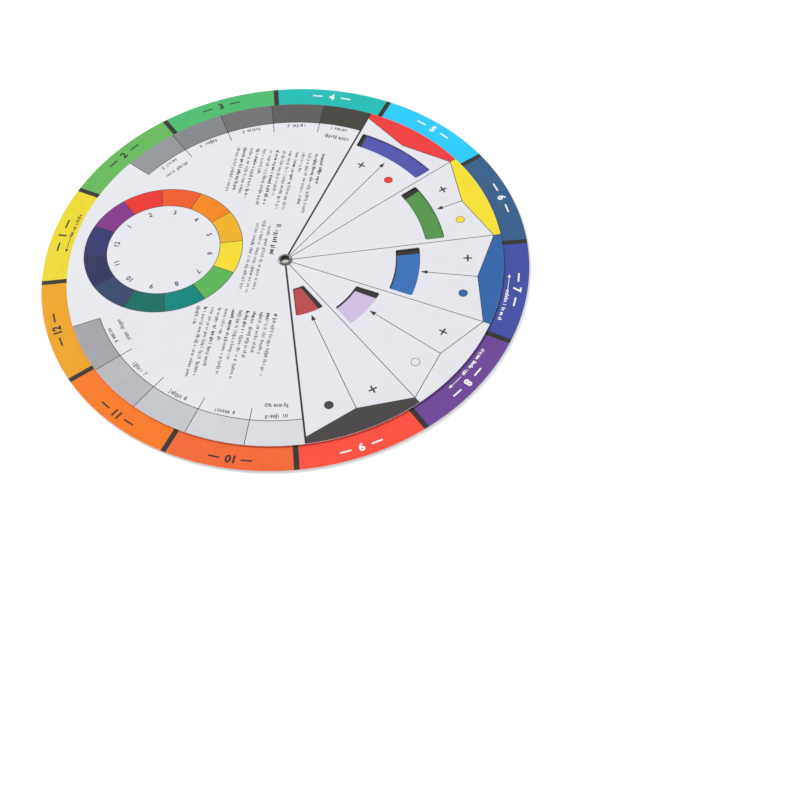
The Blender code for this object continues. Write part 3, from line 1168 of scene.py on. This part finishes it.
print_random = np.random.default_rng(7)
small_print = []
for block in PARAGRAPHS:
    sizes = (block["width"] * MM, block["pitch"] * MM)
    rows = paragraph(block["width_shares"], block["bold_shares"], *sizes, print_random, block["centred"])
    small_print += laid_out(rows, block["corner"])
heading = mark_line(HEADING_WIDTH, HEADING_HEIGHT, BOLD_INK, print_random)
small_print += laid_out([heading], HEADING_CORNER)
print(len(small_print), "stretches of small print")

# %% [markdown]
# ## The front dial: all its prints
# The prints are laid in pieces that a maker would also keep apart, such as solid colours and line work, and
# each has its level: a line crosses a flag one film above it.

# %% Lay the front dial's inks
for name, sheets, level in (
    ("flag_and_scale_print", [*flags, *greys, small_ring], 1),
    ("dial_line_print", lines + labels + ring_lines, 2),
    ("sign_rim_print", signs, 1),
    ("sign_dot_print", paints, 2),
    ("small_print_marks", small_print, 1),
):
    print_layer(name, sheets, "front_disc", 1, level)

# %% [markdown]
# ## The back of the base disc
# The photograph doesn't show the back, so it is a guess in the manner of such wheels: the base disc repeats
# its band of hues, with three rings of tint, tone and shade under the back dial's column of windows.
# Figures are mirrored in x, so that they read the right way round from behind.

# %% Back of the base disc
BACK_DIVIDER_DEG = COLUMN_DEG + SECTOR_DEG / 2
BACK_TINT_FILM = 0.4
TONE_GREY = linear("#8C8C8E")
BACK_SHADE = 0.35

back_rings = np.array((hue_inks ** BACK_TINT_FILM, (hue_inks + TONE_GREY) / 2, hue_inks * BACK_SHADE))
back_sheet = hue_sheet(BACK_ROWS + RING_SHIFTS[0], back_rings, BACK_DIVIDER_DEG)
print_layer("back_hue_print", [back_sheet], "base_disc", -1, 1)
print_layer("back_number_print", rim_numbers(BACK_DIVIDER_DEG, mirrored=-1), "base_disc", -1, 2)

# %% [markdown]
# ## The back dial: three plain diagrams
# The back dial shows how hues relate: a line, a triangle and a square, each in a circle of twelve dots.
# They could be three drawings; one rule makes them all, because each joins every sixth, fourth or third
# dot. The dots stand in the order of the band outside, and a heading and lines of marks stand under each
# circle.

# %% Diagrams on the back dial
UP_DEG = COLUMN_DEG + 180
DIAGRAM_REACH = 60.0 * MM
DIAGRAM_RADIUS = 24.0 * MM
DIAGRAM_LINE = 0.6 * MM
BACK_DOT = 2.1 * MM
DIAGRAM_STEP_DEG = 75
RELATIONS = {6: UP_DEG - DIAGRAM_STEP_DEG, 4: UP_DEG, 3: UP_DEG + DIAGRAM_STEP_DEG}
CAPTION_WIDTH = 34.0 * MM
CAPTION_DROP = 6.0 * MM
CAPTION_PITCH = 3.2 * MM
CAPTION_SHARES = (0, 0.9, 1.0, 0.7)
dots_upwards = np.roll(hue_inks, SECTORS // 2 + 1, axis=0)


def relation_strokes(hop, centre, stand):
    """The circle, and a stroke from each dot to the one a hop farther; half the circle is one stroke."""
    ring = circle(DIAGRAM_RADIUS, HAIRLINE, LINE_INK)
    starts = range(0, SECTORS // 2 if hop == SECTORS // 2 else SECTORS, hop)
    joined = [ribbon(stand[here], stand[(here + hop) % SECTORS], DIAGRAM_LINE, DARK_INK) for here in starts]
    return [moved(ring, 0, *centre), *joined]


def caption(centre, random):
    """A heading and three lines of marks under a circle, upright when the column of windows points down."""
    top = -DIAGRAM_RADIUS - CAPTION_DROP
    heading = mark_line(CAPTION_WIDTH / 2, HEADING_HEIGHT, BOLD_INK, random)
    bold = np.zeros(len(CAPTION_SHARES))
    text = paragraph(CAPTION_SHARES, bold, CAPTION_WIDTH, CAPTION_PITCH, random, centred=True)
    placed = [moved(heading, 0, -CAPTION_WIDTH / 4, top)]
    placed += [moved(line, 0, -CAPTION_WIDTH / 2, top) for line in text]
    return [moved(sheet, UP_DEG - 90, *centre) for sheet in placed]


caption_random = np.random.default_rng(11)
back_dots, back_strokes = [], []
for hop, angle in RELATIONS.items():
    centre = polar(DIAGRAM_REACH, angle)
    stand = polar(DIAGRAM_RADIUS, UP_DEG + SECTOR_DEG * np.arange(SECTORS)) + centre
    back_dots += [moved(dot(BACK_DOT, ink), 0, *place) for ink, place in zip(dots_upwards, stand)]
    back_strokes += relation_strokes(hop, centre, stand) + caption(centre, caption_random)
print(len(back_dots), "dots and", len(back_strokes), "strokes and lines of marks")

# %% [markdown]
# ## The back dial: its column of windows
# Two heavy lines part the sector with the windows from the rest, and each window has its number beside it.

# %% Lay the back dial's inks
COLUMN_LABEL_DEG = COLUMN_DEG - 20

for edge in (COLUMN_DEG - SECTOR_DEG / 2, COLUMN_DEG + SECTOR_DEG / 2):
    back_strokes.append(spoke(edge, LINE_START, HEAVY_LINE, DARK_INK))
for row, (inner, outer) in enumerate(BACK_ROWS):
    number = figure(str(row + 1), LABEL_HEIGHT, DARK_INK, BOLD_WEIGHT, mirrored=-1)
    back_strokes.append(on_dial(number, (inner + outer) / 2, COLUMN_LABEL_DEG, tops_out=False))
print_layer("relation_line_print", back_strokes, "back_disc", -1, 1)
print_layer("relation_dot_print", back_dots, "back_disc", -1, 2)

# %% [markdown]
# ## The rolled eyelet: its section
# The eyelet is a short tube whose ends are rolled outwards over the cards. Its section could be drawn by
# hand; here the middle line of the metal is half an ellipse, the tube and half an ellipse again. Half the
# wall goes to either side of it, and a half circle closes each lip.

# %% Section of the eyelet
BORE_RADIUS = 2.1 * MM
WALL = 0.25 * MM
CURL_HALF_WIDTH = 0.5 * MM
CURL_HEIGHT = 0.4 * MM
CURL_POINTS = 15
BARREL_POINTS = 6
LIP_POINTS = 5


def eyelet_section():
    """Middle line of the metal, front lip to rear lip, then both its sides joined by half circles."""
    low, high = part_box("eyelet")
    seats = (high.z - WALL / 2 - CURL_HEIGHT, low.z + WALL / 2 + CURL_HEIGHT)
    turn = np.linspace(0, math.pi, CURL_POINTS)
    across = BORE_RADIUS + WALL / 2 + CURL_HALF_WIDTH * (1 + np.cos(turn))
    front = np.column_stack((across, seats[0] + CURL_HEIGHT * np.sin(turn)))
    rear = np.column_stack((across[::-1], seats[1] - CURL_HEIGHT * np.sin(turn)))
    tube = np.linspace(front[-1], rear[0], BARREL_POINTS + 2)[1:-1]
    line = np.vstack((front, tube, rear))
    along = np.gradient(line, axis=0)
    along /= np.linalg.norm(along, axis=1, keepdims=True)
    side = np.column_stack((-along[:, 1], along[:, 0])) * WALL / 2
    bend = np.linspace(0, math.pi, LIP_POINTS)[1:-1, None]
    rear_lip = line[-1] + side[-1] * np.cos(bend) + along[-1] * WALL / 2 * np.sin(bend)
    front_lip = line[0] - side[0] * np.cos(bend) - along[0] * WALL / 2 * np.sin(bend)
    return np.vstack((line + side, rear_lip, (line - side)[::-1], front_lip))


section = eyelet_section()
print("section of", len(section), "points,", round(np.ptp(section[:, 1]) / MM, 2), "mm high")

# %% [markdown]
# ## The rolled eyelet: turned about the pivot
# In front the roll is a smooth dome; behind, where the setting tool spreads the tube, the rim comes out
# slightly scalloped. A Screw modifier would turn a plain one. As a grid, the section's radius can swell and
# shrink a little with the angle on the rear roll.

# %% Turn the eyelet
TURN_STEPS = 96
SCALLOPS = 9
SCALLOP_DEPTH = 0.09 * MM


def rolled_eyelet():
    """The section turned about Z; behind, outside the barrel, it gains depth (cos(scallops angle) - 1)."""
    turn = np.arange(TURN_STEPS) * math.tau / TURN_STEPS
    radius = np.repeat(section[:, :1], TURN_STEPS, axis=1)
    height = np.repeat(section[:, 1:], TURN_STEPS, axis=1)
    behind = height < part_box("back_disc")[0].z
    outside = np.clip((radius - BORE_RADIUS - WALL) / (2 * CURL_HALF_WIDTH), 0, 1)
    radius += np.where(behind, SCALLOP_DEPTH * outside * (np.cos(SCALLOPS * turn) - 1), 0)
    points = np.stack((radius * np.cos(turn), radius * np.sin(turn), height), axis=-1)
    index = np.arange(height.size).reshape(height.shape)
    after = np.roll(index, -1, axis=0)
    corners = (after, np.roll(after, -1, axis=1), np.roll(index, -1, axis=1), index)
    return points.reshape(-1, 3), np.stack(corners, axis=-1).reshape(-1, 4)


eyelet_points, eyelet_faces = rolled_eyelet()
eyelet = put_piece("rolled_eyelet", "eyelet", eyelet_points, (eyelet_faces,), (nickel_material,))
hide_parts("eyelet")
print("eyelet of", len(eyelet_faces), "faces, turned from", len(section), "points in", TURN_STEPS, "steps")

# %% [markdown]
# ## The white sweep
# The wheel lies on a white sweep. To the camera, and in reflections, the sweep is full white: part of that
# is its own glow, as on a table lit from below, so the wheel's shadow stays but is pale. For the light that
# it throws back on the cards it is plain paper.

# %% White sweep
FLOOR_SIZE = 3.0
FLOOR_WHITE = 0.59
FLOOR_GLOW = 0.45
FLOOR_BOUNCE = 0.80
CORNER_SIGNS = ((-1, -1), (1, -1), (1, 1), (-1, 1))


def seen_as_white(owner):
    """1 for rays from the camera, from gloss and through glass, 0 for all others."""
    path = add_node(owner, "ShaderNodeLightPath", {}).outputs
    direct = combined(owner, "MAXIMUM", path["Is Camera Ray"], path["Is Glossy Ray"])
    return combined(owner, "MAXIMUM", direct, path["Is Transmission Ray"])


def white_sweep():
    """Matt white paper: a real paper's albedo where it lights the object, partly glow to the eye."""
    matt = {"Roughness": 1, "Specular_IOR_Level": 0, "Emission_Color": (1, 1, 1, 1)}
    material, shader = new_material("matt_white_sweep", **matt)
    looked_at = seen_as_white(material)
    level = ranged(material, looked_at, (FLOOR_BOUNCE, FLOOR_WHITE))
    plug(shader, {"Base Color": level, "Emission Strength": ranged(material, looked_at, (0, FLOOR_GLOW))})
    return material


floor_corners = [(x * FLOOR_SIZE / 2, y * FLOOR_SIZE / 2, 0) for x, y in CORNER_SIGNS]
floor_mesh = bpy.data.meshes.new("white_sweep")
floor_mesh.from_pydata(floor_corners, [], [(0, 1, 2, 3)])
floor_mesh.materials.append(white_sweep())
floor = bpy.data.objects.new("white_sweep", floor_mesh)
bpy.context.scene.collection.objects.link(floor)
print("sweep", FLOOR_SIZE, "m square")

# %% [markdown]
# ## The sky
# An even sky fills in the shadows from all round. What lights the cards is dimmer than what the eye sees,
# so the colours aren't washed out while the background stays white.

# %% Sky
SKY_STRENGTH = 0.63

sky = bpy.data.worlds.new("even_white_sky")
sky.use_nodes = True
strength = ranged(sky, seen_as_white(sky), (SKY_STRENGTH, 1))
plug(sky.node_tree.nodes["Background"], {"Color": (1, 1, 1, 1), "Strength": strength})
bpy.context.scene.world = sky
bpy.context.scene.view_settings.view_transform = "Standard"
print("sky lights at", SKY_STRENGTH, "and looks white")

# %% [markdown]
# ## The lamp
# One broad lamp stands far off, behind the wheel and to its left. It leaves the thin shadow along the lower
# right of each rim. Its power follows from its distance, so that it adds a known share of full white on a
# flat card.

# %% Lamp
LAMP_PLACE = np.array((-4.0, 2.9, 4.9))
LAMP_SIDE = 1.4
LAMP_SHARE = 0.38


def lamp_power(place, share):
    """Power that adds the share of full white on a flat surface: share pi^2 d^2 / (cos lamp cos surface)."""
    distance = np.linalg.norm(place)
    return share * math.pi ** 2 * distance ** 2 / (place[2] / distance)


lamp_data = bpy.data.lights.new("broad_lamp", "AREA")
lamp_data.size = LAMP_SIDE
lamp_data.energy = lamp_power(LAMP_PLACE, LAMP_SHARE)
lamp = bpy.data.objects.new("broad_lamp", lamp_data)
lamp.location = LAMP_PLACE
lamp.rotation_euler = Vector(-LAMP_PLACE).to_track_quat("-Z", "Y").to_euler()
bpy.context.scene.collection.objects.link(lamp)
print("lamp", round(lamp_data.energy, 1), "W at", round(float(np.linalg.norm(LAMP_PLACE)), 2), "m")

# %% [markdown]
# ## The camera
# The camera stands where the photograph was taken from: in front of the wheel and about half a metre up,
# with the wheel in the upper left of the frame. Its place is given above the printed face of the wheel's
# rim.

# %% Camera
CAMERA_PLACE = np.array((0.08224, -0.43525, 0.53371))
CAMERA_TURN_DEG = (33.69, 1.72, 1.424)
CAMERA_LENS_MM = 64.12

rim_face_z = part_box("base_disc")[1].z - RIM_DROOPS["base_disc"]
camera_data = bpy.data.cameras.new("camera")
camera_data.lens = CAMERA_LENS_MM
camera = bpy.data.objects.new("camera", camera_data)
camera.location = CAMERA_PLACE + (0, 0, rim_face_z)
camera.rotation_euler = np.radians(CAMERA_TURN_DEG)
bpy.context.scene.collection.objects.link(camera)
bpy.context.scene.camera = camera
print("camera", np.round(camera.location, 3), "lens", CAMERA_LENS_MM)
